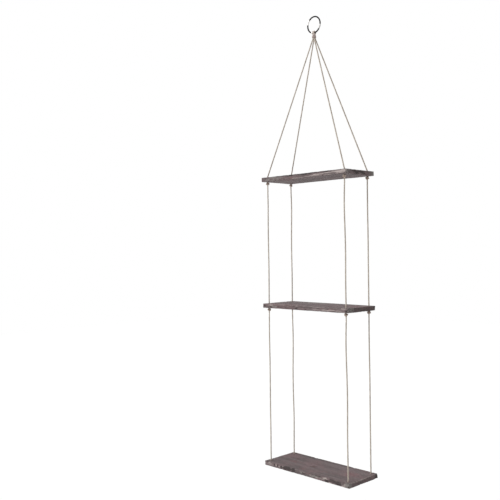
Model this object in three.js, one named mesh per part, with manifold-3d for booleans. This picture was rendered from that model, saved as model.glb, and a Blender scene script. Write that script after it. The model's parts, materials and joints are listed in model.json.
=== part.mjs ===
// A hanging shelf: three boards on four ropes that gather under a steel ring.
// Millimetres, +Z up. The boards run along X and their front faces -Y.
// The origin is the inner top of the ring, where it rests on its hook or nail.
import * as THREE from "three";
import { mergeVertices } from "three/addons/utils/BufferGeometryUtils.js";
import Module from "manifold-3d";

// Driving dimensions of the boards
const boardLength = 400;
const boardDepth = 160;
const boardThick = 16;
const boardCornerRadius = 2.5;
const holeFromEnd = 17;
const holeFromSide = 16;
const holeClearance = 0.5;

// Driving dimensions of the ring and of the rope
const ringAcross = 64;
const ringWire = 5;
const ropeDia = 4.5;

// Heights: ring to top board, then from board top to board top
const ringToTopBoard = 514;
const topToMiddle = 473;
const middleToBottom = 591;

// The lashing under the ring, the short neck above it and the stopper knots
const neckLength = 1.5;
const lashingCordDia = 1.5;
const lashingTurns = 4;
const lashingTurnGap = 0.5;
const knotHeartDia = 5.6;
const knotTurns = 1.5;
const knotTurnGap = 0.5;
const knotSqueeze = 0.4;
const tailLength = 1;
const footLength = 3;

// The knots of the bottom board sit in flat bored recesses, so that little of them shows below it
const recessAcross = 16;
const recessDepth = 9.5;

// Clearance between pieces that touch on the real shelf, and how far each tier may sway
const touchGap = 0.3;
const swayLimitDeg = 10;

// Where the ropes bend: straight lengths at their ends and the rise of the upper rope over its hole
const spanStraightEnd = 8;
const ropeStray = 2;
const upperRise = 2.5;
const upperBend = 3;

// Facets
const ringSteps = 40;
const ringSides = 8;
const ropeSides = 8;
const knotSides = 6;
const knotStepsPerTurn = 10;
const lashingStepsPerTurn = 24;
const loopSteps = 16;
const holeHalfSides = 6;
const cornerHalfSides = 2;

// Sizes that follow from the ones above
const ropeRadius = ropeDia / 2;
const wireRadius = ringWire / 2;
const ringRadius = ringAcross / 2 - wireRadius;
const ringCentreZ = wireRadius - ringRadius;
const hitchZ = ringCentreZ - ringRadius;
const loopRadius = wireRadius + touchGap + ropeRadius;
const loopAngle = (ropeDia + touchGap) / (ringRadius - loopRadius) / 2;
const neckTopZ = hitchZ - loopRadius - ropeRadius - touchGap;
const neckEndZ = neckTopZ - neckLength;
const legOffset = (ropeDia + touchGap) / 2;
const legTopZ = neckEndZ - touchGap;
const lashingCordRadius = lashingCordDia / 2;
const lashingPitch = lashingCordDia + lashingTurnGap;
const lashingRadius = legOffset * Math.SQRT2 + ropeRadius + touchGap + lashingCordRadius;
const lashingTopZ = legTopZ - lashingCordRadius - touchGap;
const lashingEndZ = lashingTopZ - lashingTurns * lashingPitch;
const legExitZ = lashingEndZ - lashingCordRadius - touchGap;
const topBoardZ = ringCentreZ - ringAcross / 2 - ringToTopBoard;
const middleBoardZ = topBoardZ - topToMiddle;
const bottomBoardZ = middleBoardZ - middleToBottom;

// A knot is one and a half turns of the rope wound tightly round its own two ends, which are its heart.
// Its pivot is its centre, low enough for the knot to rock under its board without touching it.
const sway = THREE.MathUtils.degToRad(swayLimitDeg);
const swayBothWays = Math.acos(Math.cos(sway) ** 2);
const knotPitch = ropeDia + knotTurnGap;
const knotHeartRadius = knotHeartDia / 2;
const knotRadius = knotHeartRadius + ropeRadius - knotSqueeze;
const knotHalfClimb = (knotTurns * knotPitch) / 2;
const knotDrop = knotHalfClimb * Math.cos(sway) + knotRadius * Math.sin(sway) + ropeRadius + touchGap;
const coreHalf = (knotDrop - touchGap - ropeRadius * Math.sin(sway)) / Math.cos(sway);
const spanStart = (coreHalf + touchGap + ropeRadius * Math.sin(sway)) / Math.cos(sway);

// The lower end of a span bends a little above its board
const flexGap = touchGap + ropeRadius * Math.sin(swayBothWays) + footLength * (1 - Math.cos(swayBothWays));
const footRise = footLength / 2 + flexGap;

const holeX = boardLength / 2 - holeFromEnd;
const holeY = boardDepth / 2 - holeFromSide;

// Each corner of a board, with the turn of its knots about the rope in degrees.
// The rear left rope is the one that carries the joints between two tiers.
const corners = [
  { name: "front_left", x: -holeX, y: -holeY, knotTurnDeg: 205 },
  { name: "front_right", x: holeX, y: -holeY, knotTurnDeg: 250 },
  { name: "rear_left", x: -holeX, y: holeY, knotTurnDeg: 120 },
  { name: "rear_right", x: holeX, y: holeY, knotTurnDeg: 35 },
];
const leadCorner = "rear_left";

// How each span strays from a straight line, chosen by eye, as shares of ropeStray.
// Each pair is x and y, at even steps down the rope.
const strayShares = {
  middle: {
    front_left: [
      [0.2, -0.1], [0.45, -0.2], [0.35, -0.3], [0.1, -0.25], [-0.1, -0.1], [-0.15, 0.05],
      [-0.05, 0.15], [0.15, 0.15], [0.25, 0.05], [0.2, -0.05], [0.1, 0],
    ],
    front_right: [
      [-0.4, -0.25], [-0.8, -0.45], [-0.75, -0.45], [-0.4, -0.3], [-0.05, -0.15], [0.15, 0.05],
      [0.2, 0.2], [0.1, 0.2], [-0.1, 0.1], [-0.2, 0.05], [-0.1, 0],
    ],
    rear_left: [
      [0.35, 0.3], [0.6, 0.5], [0.45, 0.45], [0.15, 0.25], [-0.05, 0.05], [-0.15, -0.1],
      [-0.1, -0.15], [0.05, -0.1], [0.15, 0.05], [0.15, 0.1], [0.05, 0.05],
    ],
    rear_right: [
      [-0.25, 0.2], [-0.45, 0.35], [-0.4, 0.25], [-0.15, 0.1], [0.1, -0.05], [0.2, -0.15],
      [0.15, -0.15], [0, -0.05], [-0.1, 0.1], [-0.1, 0.1], [-0.05, 0.05],
    ],
  },
  lower: {
    front_left: [
      [-0.55, 0.25], [-0.75, 0.4], [-0.4, 0.3], [0.05, 0.1], [0.25, -0.05], [0.2, -0.15],
      [0, -0.1], [-0.15, 0.05], [-0.1, 0.15], [0.05, 0.1], [0.05, 0],
    ],
    front_right: [
      [-0.6, -0.3], [-0.85, -0.45], [-0.55, -0.35], [-0.1, -0.15], [0.3, 0.05], [0.4, 0.2],
      [0.2, 0.2], [-0.05, 0.1], [-0.2, -0.05], [-0.15, -0.05], [-0.05, 0],
    ],
    rear_left: [
      [0.25, 0.2], [0.5, 0.45], [0.4, 0.4], [0.05, 0.15], [-0.25, -0.1], [-0.3, -0.2],
      [-0.15, -0.15], [0.25, 0.1], [0.5, 0.3], [0.35, 0.25], [0.1, 0.1],
    ],
    rear_right: [
      [-0.3, 0.15], [-0.5, 0.3], [-0.3, 0.25], [0.05, 0.05], [0.25, -0.1], [0.25, -0.15],
      [0.05, -0.05], [-0.15, 0.1], [-0.2, 0.15], [-0.1, 0.1], [-0.05, 0.05],
    ],
  },
};

const wasm = await Module();
wasm.setup();

const materials = {
  steel: new THREE.MeshStandardMaterial({ color: 0x5c5957, roughness: 0.28, metalness: 1 }),
  wood: new THREE.MeshStandardMaterial({ color: 0x6f6463, roughness: 0.85, metalness: 0 }),
  rope: new THREE.MeshStandardMaterial({ color: 0xb3a697, roughness: 0.95, metalness: 0 }),
};

const shelf = new THREE.Group();

function addPiece(name, geometry, material, position = new THREE.Vector3(), turn = 0) {
  const piece = new THREE.Mesh(geometry, material);
  piece.name = name;
  piece.position.copy(position);
  piece.rotation.z = turn;
  shelf.add(piece);
}

// A smooth curve that is sampled at its own points, so that bends get the points that they need
class Route extends THREE.CatmullRomCurve3 {
  getPointAt(share, target) {
    return this.getPoint(share, target);
  }
  getTangentAt(share, target) {
    return this.getTangent(share, target);
  }
}

function roundSection(radius, sides) {
  const section = new THREE.Shape();
  section.setFromPoints(
    Array.from({ length: sides }, (_, side) => {
      const angle = (2 * Math.PI * side) / sides;
      return new THREE.Vector2(radius * Math.cos(angle), radius * Math.sin(angle));
    }),
  );
  return section;
}

function tube(points, radius, sides) {
  return new THREE.ExtrudeGeometry(roundSection(radius, sides), {
    steps: points.length - 1,
    extrudePath: new Route(points),
  });
}

function upright(topZ, endZ, radius = ropeRadius, sides = ropeSides) {
  return tube([new THREE.Vector3(0, 0, topZ), new THREE.Vector3(0, 0, endZ)], radius, sides);
}

function toSolid(geometry) {
  const bare = geometry.clone();
  bare.deleteAttribute("normal");
  bare.deleteAttribute("uv");
  const merged = mergeVertices(bare.index ? bare.toNonIndexed() : bare);
  return new wasm.Manifold(
    new wasm.Mesh({
      numProp: 3,
      vertProperties: Float32Array.from(merged.attributes.position.array),
      triVerts: Uint32Array.from(merged.index.array),
    }),
  );
}

function toGeometry(solid) {
  const mesh = solid.getMesh();
  const geometry = new THREE.BufferGeometry();
  geometry.setAttribute("position", new THREE.BufferAttribute(mesh.vertProperties, 3));
  geometry.setIndex(new THREE.BufferAttribute(mesh.triVerts, 1));
  return geometry;
}

function join(geometries) {
  return toGeometry(geometries.map(toSolid).reduce((sum, solid) => sum.add(solid)));
}

// Points of a helix about Z from the height topZ down
function helix(radius, topZ, pitch, turns, stepsPerTurn) {
  const steps = Math.round(turns * stepsPerTurn);
  return Array.from({ length: steps + 1 }, (_, step) => {
    const angle = (2 * Math.PI * turns * step) / steps;
    const z = topZ - (pitch * turns * step) / steps;
    return new THREE.Vector3(radius * Math.cos(angle), radius * Math.sin(angle), z);
  });
}

// Print the least gap between turns of a wound tube, measured between points half a turn or more apart
function printLeastGap(name, points, stepsPerTurn, dia) {
  let least = Infinity;
  points.forEach((point, index) => {
    points.slice(index + stepsPerTurn / 2).forEach((other) => {
      least = Math.min(least, point.distanceTo(other) - dia);
    });
  });
  console.log(`${name}: least gap between turns ${least.toFixed(2)} mm`);
}

function makeRing() {
  const ring = new THREE.TorusGeometry(ringRadius, wireRadius, ringSides, ringSteps);
  ring.rotateX(Math.PI / 2);
  addPiece("hanging_ring", ring, materials.steel, new THREE.Vector3(0, 0, ringCentreZ));
}

// Each of the two ropes is folded in half over the bottom of the ring
function makeRingLoops() {
  for (const [side, name] of [[-1, "ring_loop_left"], [1, "ring_loop_right"]]) {
    const angle = side * loopAngle;
    const loop = new THREE.TorusGeometry(loopRadius, ropeRadius, knotSides, loopSteps);
    loop.rotateY(Math.PI / 2);
    loop.rotateY(-angle);
    const position = new THREE.Vector3(
      ringRadius * Math.sin(angle),
      0,
      ringCentreZ - ringRadius * Math.cos(angle),
    );
    addPiece(name, loop, materials.rope, position);
  }
}

// The four legs just above the lashing, drawn together into one short bundle with no gap down its middle
function makeNeck() {
  const legs = [[-1, -1], [1, -1], [1, 1], [-1, 1]].map(([x, y]) => {
    const leg = upright(neckTopZ, neckEndZ, legOffset + touchGap);
    return leg.translate(x * legOffset, y * legOffset, 0);
  });
  addPiece("crown_neck", join([...legs, upright(neckTopZ, neckEndZ, legOffset)]), materials.rope);
}

function makeLashing() {
  const points = helix(lashingRadius, lashingTopZ, lashingPitch, lashingTurns, lashingStepsPerTurn);
  printLeastGap("crown lashing", points, lashingStepsPerTurn, lashingCordDia);
  addPiece("crown_lashing", tube(points, lashingCordRadius, knotSides), materials.rope);
}

// An upper rope leaves the lashing, runs straight to its corner and drops through the top board
function makeUpperRope(corner) {
  const leg = new THREE.Vector3(Math.sign(corner.x) * legOffset, Math.sign(corner.y) * legOffset, legExitZ);
  const mouth = new THREE.Vector3(corner.x, corner.y, topBoardZ + upperRise);
  const slantShares = [0.012, 0.06, 0.15, 0.27, 0.4, 0.53, 0.66, 0.78, 0.88, 0.95, 0.988];
  const points = [
    leg.clone().setZ(legTopZ),
    leg.clone().setZ((legTopZ + legExitZ) / 2),
    leg.clone().setZ(legExitZ + upperBend),
    leg,
    ...slantShares.map((share) => leg.clone().lerp(mouth, share)),
    mouth,
    mouth.clone().setZ(mouth.z - upperBend),
    mouth.clone().setZ(topBoardZ - boardThick),
  ];
  addPiece(`upper_rope_${corner.name}`, tube(points, ropeRadius, ropeSides), materials.rope);
}

// A span hangs from the knot under one board to just above the next board
function makeSpan(tier, corner, upperBoardZ, lowerBoardZ) {
  const startZ = upperBoardZ - boardThick - knotDrop - spanStart;
  const endZ = lowerBoardZ + footRise + footLength / 2 + flexGap;
  const strays = strayShares[tier][corner.name];
  const freeTop = startZ - spanStraightEnd;
  const freeLength = freeTop - (endZ + spanStraightEnd);
  const points = [
    new THREE.Vector3(0, 0, startZ),
    new THREE.Vector3(0, 0, freeTop),
    ...strays.map(([xShare, yShare], index) => {
      const share = (index + 1) / (strays.length + 1);
      return new THREE.Vector3(xShare * ropeStray, yShare * ropeStray, freeTop - share * freeLength);
    }),
    new THREE.Vector3(0, 0, endZ + spanStraightEnd),
    new THREE.Vector3(0, 0, endZ),
  ];
  const position = new THREE.Vector3(corner.x, corner.y, 0);
  addPiece(`${tier}_rope_${corner.name}`, tube(points, ropeRadius, ropeSides), materials.rope, position);
}

// One layer of a board, with a round hole of the given radius at each rope
function boardLayer(holeRadius, thick, z) {
  const x = boardLength / 2;
  const y = boardDepth / 2;
  const r = boardCornerRadius;
  const outline = new THREE.Shape();
  outline.absarc(x - r, y - r, r, 0, Math.PI / 2);
  outline.absarc(r - x, y - r, r, Math.PI / 2, Math.PI);
  outline.absarc(r - x, r - y, r, Math.PI, 1.5 * Math.PI);
  outline.absarc(x - r, r - y, r, 1.5 * Math.PI, 2 * Math.PI);
  const shape = new THREE.Shape(outline.getPoints(cornerHalfSides));
  shape.holes = corners.map((corner) => {
    const hole = new THREE.Path();
    hole.absarc(corner.x, corner.y, holeRadius, 0, 2 * Math.PI);
    return new THREE.Path(hole.getPoints(holeHalfSides));
  });
  return new THREE.ExtrudeGeometry(shape, { depth: thick, bevelEnabled: false }).translate(0, 0, z);
}

const ropeHoleRadius = ropeRadius + holeClearance;

function makeBoard(name, topZ) {
  const board = boardLayer(ropeHoleRadius, boardThick, -boardThick);
  addPiece(name, board, materials.wood, new THREE.Vector3(0, 0, topZ));
}

function makeRecessedBoard(name, topZ) {
  const upper = boardLayer(ropeHoleRadius, boardThick - recessDepth, recessDepth - boardThick);
  const lower = boardLayer(recessAcross / 2, recessDepth, -boardThick);
  addPiece(name, join([upper, lower]), materials.wood, new THREE.Vector3(0, 0, topZ));
}

// The wound turns of a knot lie about its own centre
const knotWinding = helix(knotRadius, knotHalfClimb, knotPitch, knotTurns, knotStepsPerTurn);
printLeastGap("stopper knot", knotWinding, knotStepsPerTurn, ropeDia);

function makeKnot(name, corner, knotZ, coreTop, coreEnd) {
  const position = new THREE.Vector3(corner.x, corner.y, knotZ);
  const heart = upright(knotHalfClimb, -knotHalfClimb, knotHeartRadius);
  const knot = join([tube(knotWinding, ropeRadius, knotSides), heart, upright(coreTop, coreEnd)]);
  addPiece(name, knot, materials.rope, position, THREE.MathUtils.degToRad(corner.knotTurnDeg));
}

// The rope inside a board's hole. At the lead corner it stops flush, under the foot of the span.
function throughTopZ(corner, boardZ) {
  return corner.name === leadCorner ? boardZ : boardZ + footRise + footLength / 2;
}

function makeThrough(name, corner, boardZ) {
  const through = upright(throughTopZ(corner, boardZ), boardZ - boardThick);
  addPiece(name, through, materials.rope, new THREE.Vector3(corner.x, corner.y, 0));
}

function makeFoot(name, boardZ) {
  const lead = corners.find((corner) => corner.name === leadCorner);
  const foot = upright(footRise + footLength / 2, footRise - footLength / 2);
  addPiece(name, foot, materials.rope, new THREE.Vector3(lead.x, lead.y, boardZ));
}

makeRing();
makeRingLoops();
makeNeck();
makeLashing();
makeBoard("top_board", topBoardZ);
makeBoard("middle_board", middleBoardZ);
makeRecessedBoard("bottom_board", bottomBoardZ);
makeFoot("middle_rope_foot", middleBoardZ);
makeFoot("lower_rope_foot", bottomBoardZ);

const topKnotZ = topBoardZ - boardThick - knotDrop;
const middleKnotZ = middleBoardZ - boardThick - knotDrop;
const bottomKnotZ = bottomBoardZ - boardThick + recessDepth - knotDrop;

for (const corner of corners) {
  makeUpperRope(corner);
  makeKnot(`top_knot_${corner.name}`, corner, topKnotZ, coreHalf, -coreHalf);
  makeSpan("middle", corner, topBoardZ, middleBoardZ);
  makeThrough(`middle_through_${corner.name}`, corner, middleBoardZ);
  makeKnot(`middle_knot_${corner.name}`, corner, middleKnotZ, coreHalf, -coreHalf);
  makeSpan("lower", corner, middleBoardZ, bottomBoardZ);
  const bottomTop = throughTopZ(corner, bottomBoardZ) - bottomKnotZ;
  makeKnot(`bottom_knot_${corner.name}`, corner, bottomKnotZ, bottomTop, -coreHalf - tailLength);
}

export default shelf;
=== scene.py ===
# %% [markdown]
# # A hanging rope shelf
#
# Three rough planks hang one below the other from a steel ring. Two long ropes are folded over the ring and
# lashed together under it, so that four legs of rope hang down, with a knot under every plank.
# This lesson dresses a finished engineering model of that shelf: the model says where each piece lies and
# what it moves with, and the cells below give each piece its real surface.

# %% Load the engineering model
import json
import math

import bpy
import numpy as np
from mathutils import Matrix, Vector


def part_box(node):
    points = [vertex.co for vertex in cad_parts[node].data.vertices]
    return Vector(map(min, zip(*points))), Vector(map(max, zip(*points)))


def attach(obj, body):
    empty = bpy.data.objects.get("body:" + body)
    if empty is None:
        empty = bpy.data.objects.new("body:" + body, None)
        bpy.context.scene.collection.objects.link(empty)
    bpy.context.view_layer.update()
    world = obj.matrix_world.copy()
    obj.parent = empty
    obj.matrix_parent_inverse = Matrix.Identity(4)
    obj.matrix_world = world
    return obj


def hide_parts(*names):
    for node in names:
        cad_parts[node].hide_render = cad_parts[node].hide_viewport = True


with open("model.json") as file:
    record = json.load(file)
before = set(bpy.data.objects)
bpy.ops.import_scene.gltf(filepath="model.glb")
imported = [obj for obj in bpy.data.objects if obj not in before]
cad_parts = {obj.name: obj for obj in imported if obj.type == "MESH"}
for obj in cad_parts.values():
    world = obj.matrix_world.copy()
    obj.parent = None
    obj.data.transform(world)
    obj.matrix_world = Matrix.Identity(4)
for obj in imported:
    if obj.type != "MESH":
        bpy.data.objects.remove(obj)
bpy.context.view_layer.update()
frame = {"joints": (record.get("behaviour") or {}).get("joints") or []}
pivots = {joint["name"]: joint["pos_m"] for joint in frame["joints"]}

# %% [markdown]
# ## The camera
#
# The shelf is seen from its front right, with the eye between the heights of the upper two planks: the top
# plank shows its underside and the lower ones their tops. The eye looks level, which keeps all upright
# lines parallel. A turn of less than a degree about the line of sight matches the tilt of the picture.
# The shelf stands right of the picture's middle, so the camera heads a few degrees past it on the left.
# The ring is about as far above the eye as the bottom plank is below it, so the lens needs no shift.

# %% Camera
picture_width = 500
focal_pixels = 721.9
sensor_width = 36.0
eye_distance = 2.6406
eye_height = -0.8441
eye_turn = math.radians(40.75)
heading_past = math.radians(5.28)
picture_tilt = math.radians(0.72)
heading = eye_turn + heading_past

eye = Vector((math.sin(eye_turn) * eye_distance, -math.cos(eye_turn) * eye_distance, eye_height))
forward = Vector((-math.sin(heading), math.cos(heading), 0))
level_right = Vector((math.cos(heading), math.sin(heading), 0))
level_up = Vector((0, 0, 1))
right = level_right * math.cos(picture_tilt) - level_up * math.sin(picture_tilt)
up = level_right * math.sin(picture_tilt) + level_up * math.cos(picture_tilt)

camera_data = bpy.data.cameras.new("camera")
camera_data.sensor_width = sensor_width
camera_data.lens = focal_pixels / picture_width * sensor_width
camera = bpy.data.objects.new("camera", camera_data)
camera.matrix_world = Matrix.Translation(eye) @ Matrix((right, up, -forward)).transposed().to_4x4()
bpy.context.scene.collection.objects.link(camera)
bpy.context.scene.camera = camera
print(f"lens {camera_data.lens:.1f} mm")

# %% [markdown]
# ## Where the ropes run
#
# A rope is one long thing, but it bends where it is knotted, so it is made in stretches that each move
# with their own body: an upper leg, two hanging stretches, and the short pieces inside the planks.
# The places come from the engineering model. The hanging stretches aren't quite straight: a rope that was
# once coiled keeps small kinks, mostly just under a knot. They are given as shares of a largest stray.

# %% Heights and corners
tiers = ("top", "middle", "bottom")
corner_names = ("front_left", "front_right", "rear_left", "rear_right")
mm = 0.001
rope_dia = 0.0045
rope_radius = rope_dia / 2
rope_gap = 0.0003
rope_stray = 0.002
span_straight_end = 0.008
upper_rise = 0.0025
upper_bend = 0.003
recess_depth = 0.0095


def middle_of(node):
    low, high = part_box(node)
    return (low + high) / 2


corners = {name: middle_of(f"middle_through_{name}").xy for name in corner_names}
board_boxes = {tier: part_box(f"{tier}_board") for tier in tiers}
board_top = {tier: high.z for tier, (_, high) in board_boxes.items()}
board_under = {tier: low.z for tier, (low, _) in board_boxes.items()}
knot_z = {"top": pivots["middle_side_sway"][2], "middle": pivots["lower_side_sway"][2]}
knot_z["bottom"] = board_under["bottom"] + recess_depth + knot_z["top"] - board_under["top"]
foot_z = {"middle": pivots["middle_level_front"][2], "bottom": pivots["lower_level_front"][2]}
ring_low, ring_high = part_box("hanging_ring")
lashing_low, lashing_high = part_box("crown_lashing")
leg_offset = (rope_dia + rope_gap) / 2
leg_exit_z = lashing_low.z - rope_gap
leg_top_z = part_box("upper_rope_front_left")[1].z
end_overlap = 0.0016
print({tier: round(z, 4) for tier, z in board_top.items()})

# %% Points of each stretch, from its upper end to its lower end
slant_shares = [0.012, 0.06, 0.15, 0.27, 0.4, 0.53, 0.66, 0.78, 0.88, 0.95, 0.988]
# Sideways and to the rear, from the upper end of each span to its lower end.
stray_shares = {
    ("middle", "front_left"): [
        (0.2, -0.1), (0.45, -0.2), (0.35, -0.3), (0.1, -0.25), (-0.1, -0.1), (-0.15, 0.05), (-0.05, 0.15),
        (0.15, 0.15), (0.25, 0.05), (0.2, -0.05), (0.1, 0),
    ],
    ("middle", "front_right"): [
        (-0.4, -0.25), (-0.8, -0.45), (-0.75, -0.45), (-0.4, -0.3), (-0.05, -0.15), (0.15, 0.05),
        (0.2, 0.2), (0.1, 0.2), (-0.1, 0.1), (-0.2, 0.05), (-0.1, 0),
    ],
    ("middle", "rear_left"): [
        (0.35, 0.3), (0.6, 0.5), (0.45, 0.45), (0.15, 0.25), (-0.05, 0.05), (-0.15, -0.1), (-0.1, -0.15),
        (0.05, -0.1), (0.15, 0.05), (0.15, 0.1), (0.05, 0.05),
    ],
    ("middle", "rear_right"): [
        (-0.25, 0.2), (-0.45, 0.35), (-0.4, 0.25), (-0.15, 0.1), (0.1, -0.05), (0.2, -0.15), (0.15, -0.15),
        (0, -0.05), (-0.1, 0.1), (-0.1, 0.1), (-0.05, 0.05),
    ],
    ("lower", "front_left"): [
        (-0.55, 0.25), (-0.75, 0.4), (-0.4, 0.3), (0.05, 0.1), (0.25, -0.05), (0.2, -0.15), (0, -0.1),
        (-0.15, 0.05), (-0.1, 0.15), (0.05, 0.1), (0.05, 0),
    ],
    ("lower", "front_right"): [
        (-0.6, -0.3), (-0.85, -0.45), (-0.55, -0.35), (-0.1, -0.15), (0.3, 0.05), (0.4, 0.2), (0.2, 0.2),
        (-0.05, 0.1), (-0.2, -0.05), (-0.15, -0.05), (-0.05, 0),
    ],
    ("lower", "rear_left"): [
        (0.25, 0.2), (0.5, 0.45), (0.4, 0.4), (0.05, 0.15), (-0.25, -0.1), (-0.3, -0.2), (-0.15, -0.15),
        (0.25, 0.1), (0.5, 0.3), (0.35, 0.25), (0.1, 0.1),
    ],
    ("lower", "rear_right"): [
        (-0.3, 0.15), (-0.5, 0.3), (-0.3, 0.25), (0.05, 0.05), (0.25, -0.1), (0.25, -0.15), (0.05, -0.05),
        (-0.15, 0.1), (-0.2, 0.15), (-0.1, 0.1), (-0.05, 0.05),
    ],
}


def upper_points(corner):
    """Down one leg of the neck, along the slant to the top plank's hole and through the plank."""
    x, y = corners[corner]
    leg = np.array([math.copysign(leg_offset, x), math.copysign(leg_offset, y), leg_exit_z])
    mouth = np.array([x, y, board_top["top"] + upper_rise])
    heights = [leg_top_z, (leg_top_z + leg_exit_z) / 2, leg_exit_z + upper_bend, leg_exit_z]
    points = [(leg[0], leg[1], z) for z in heights]
    points += [tuple(leg + share * (mouth - leg)) for share in slant_shares]
    return points + [(x, y, z) for z in (mouth[2], mouth[2] - upper_bend, board_under["top"], knot_z["top"])]


def span_points(span, corner, upper_tier, lower_tier):
    """From a knot down to the hole in the plank below, with the stray of a rope that was once coiled."""
    x, y = corners[corner]
    solid_low, solid_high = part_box(f"{span}_rope_{corner}")
    free_top = solid_high.z - span_straight_end
    free_end = solid_low.z + span_straight_end
    strays = stray_shares[span, corner]
    points = [(x, y, knot_z[upper_tier]), (x, y, solid_high.z), (x, y, free_top)]
    for index, (x_share, y_share) in enumerate(strays, start=1):
        z = free_top + (free_end - free_top) * index / (len(strays) + 1)
        points.append((x + x_share * rope_stray, y + y_share * rope_stray, z))
    return points + [(x, y, free_end), (x, y, solid_low.z), (x, y, foot_z[lower_tier] - end_overlap)]


print(f"{len(upper_points('front_left'))} points on an upper leg")

# %% [markdown]
# ## Laid rope
#
# The rope is jute of three strands laid round each other. A plain tube with a bump map would look round at
# its outline. Three separate tubes would cross inside each other, which makes a poor mesh for other uses.
# So one tube has a three-lobed section, the outline of three pressed circles, and turns as it runs.
# A lobed rope is narrower than its nominal size from most sides, so the strands swell a little to make up
# for it. The rows of points turn with the strands, which keeps each groove one clean line.
# The turn follows the height, so that two stretches that meet end to end share the same lay.

# %% A smooth line through the points
rope_lay = 3.3 * rope_dia
rings_per_lay = 14


def steps_of(line):
    """The distance from each point of a line to the next."""
    return np.linalg.norm(np.diff(line, axis=0), axis=1)


def smooth_line(points, step):
    """Evenly spaced points on a curve through the given ones, with tangents taken from their neighbours."""
    points = np.array(points, float)
    chord = steps_of(points)
    along = np.concatenate([[0], np.cumsum(chord)])
    slope = np.gradient(points, along, axis=0)
    where = np.linspace(0, along[-1], max(3, round(along[-1] / step) + 1))
    piece = np.clip(np.searchsorted(along, where, side="right") - 1, 0, len(chord) - 1)
    length = chord[piece][:, None]
    t = ((where - along[piece]) / chord[piece])[:, None]
    start, end = points[piece], points[piece + 1]
    start_slope, end_slope = slope[piece] * length, slope[piece + 1] * length
    return (
        (2 * t**3 - 3 * t**2 + 1) * start
        + (t**3 - 2 * t**2 + t) * start_slope
        + (3 * t**2 - 2 * t**3) * end
        + (t**3 - t**2) * end_slope
    )


def unit(vectors):
    return vectors / np.linalg.norm(vectors, axis=-1, keepdims=True)


def cross_directions(line):
    """Two directions square to the line at each point, carried along it without twist."""
    tangent = unit(np.gradient(line, axis=0))
    # The first direction may be any that isn't nearly along the line.
    seed = np.array([1.0, 0, 0]) if abs(tangent[0][0]) < 0.9 else np.array([0, 1.0, 0])
    side = np.empty_like(line)
    for index, direction in enumerate(tangent):
        seed = unit(seed - direction * np.dot(seed, direction))
        side[index] = seed
    return side, np.cross(tangent, side)


test_line = smooth_line(upper_points("front_left"), rope_lay / rings_per_lay)
print(f"an upper leg has {len(test_line)} rings")

# %% A closed tube of any section, and the mesh object made from it
def round_angles(count):
    """Angles spaced evenly round a full turn."""
    return 2 * np.pi * np.arange(count) / count


def tube_arrays(line, radii, angles):
    """Points and faces of a closed tube. Radii and angles have a row for each ring."""
    side, other = cross_directions(line)
    rings, sides = radii.shape
    x, y = radii * np.cos(angles), radii * np.sin(angles)
    points = line[:, None] + x[..., None] * side[:, None] + y[..., None] * other[:, None]
    here = np.arange(sides)
    beside = np.roll(here, -1)
    start = (np.arange(rings - 1) * sides)[:, None]
    walls = np.stack([start + here, start + beside, start + sides + beside, start + sides + here], axis=-1)
    faces = [tuple(face) for face in walls.reshape(-1, 4).tolist()]
    first, last = rings * sides, rings * sides + 1
    end = (rings - 1) * sides
    faces += [(first, int(b), int(a)) for a, b in zip(here, beside)]
    faces += [(last, end + int(a), end + int(b)) for a, b in zip(here, beside)]
    points = np.concatenate([points.reshape(-1, 3), line[:1], line[-1:]])
    local = np.stack([x, y], axis=-1).reshape(-1, 2)
    return points, faces, np.concatenate([local, np.zeros((2, 2))])


def join_arrays(parts):
    """One set of points and faces from several."""
    points, faces, offset = [], [], 0
    for part_points, part_faces in parts:
        points.append(part_points)
        faces += [tuple(corner + offset for corner in face) for face in part_faces]
        offset += len(part_points)
    return np.concatenate(points), faces


def make_object(name, points, faces, **surface_values):
    """A smooth-shaded mesh object with one named attribute for each array of surface values."""
    mesh = bpy.data.meshes.new(name)
    mesh.from_pydata(points.tolist(), [], faces)
    for title, values in surface_values.items():
        kind, field = ("FLOAT_VECTOR", "vector") if values.ndim == 2 else ("FLOAT", "value")
        layer = mesh.attributes.new(title, kind, "POINT")
        layer.data.foreach_set(field, values.astype(np.float32).ravel())
    mesh.shade_smooth()
    thing = bpy.data.objects.new(name, mesh)
    bpy.context.scene.collection.objects.link(thing)
    return thing


def dress(piece, body, node):
    """Let a piece move with its body and stand for its engineering solid."""
    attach(piece, body)
    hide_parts(node)
    return piece


# %% [markdown]
# ## Loose fibres
#
# Jute sheds short fibres, which stand off the rope at a slant and give it its soft outline. Blender's hair
# would have to be turned into a mesh again, so each fibre is a small tapered tube rooted in the rope.

# %% Fibres
fibre_radius = 0.00006
fibre_taper = 1.15
fibre_sides, fibre_steps = 3, 4
fibre_run, fibre_lift = 0.85, 0.45
fibre_lengths = (0.002, 0.0055)
fibre_curls = (1.2, 2.6)
fibre_veer = 0.6
root_share = 0.8


def fibre_arrays(root, away, along, length, curl):
    """One fibre that leaves its root at a slant and bends over."""
    share = np.linspace(0, 1, fibre_steps)[:, None]
    lift = np.sin(share * curl) / curl
    line = root + length * (share * along * fibre_run + lift * away * fibre_lift)
    radii = np.repeat(fibre_radius * (fibre_taper - share), fibre_sides, axis=1)
    points, faces, _ = tube_arrays(line, radii, np.tile(round_angles(fibre_sides), (fibre_steps, 1)))
    return points, faces


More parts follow.
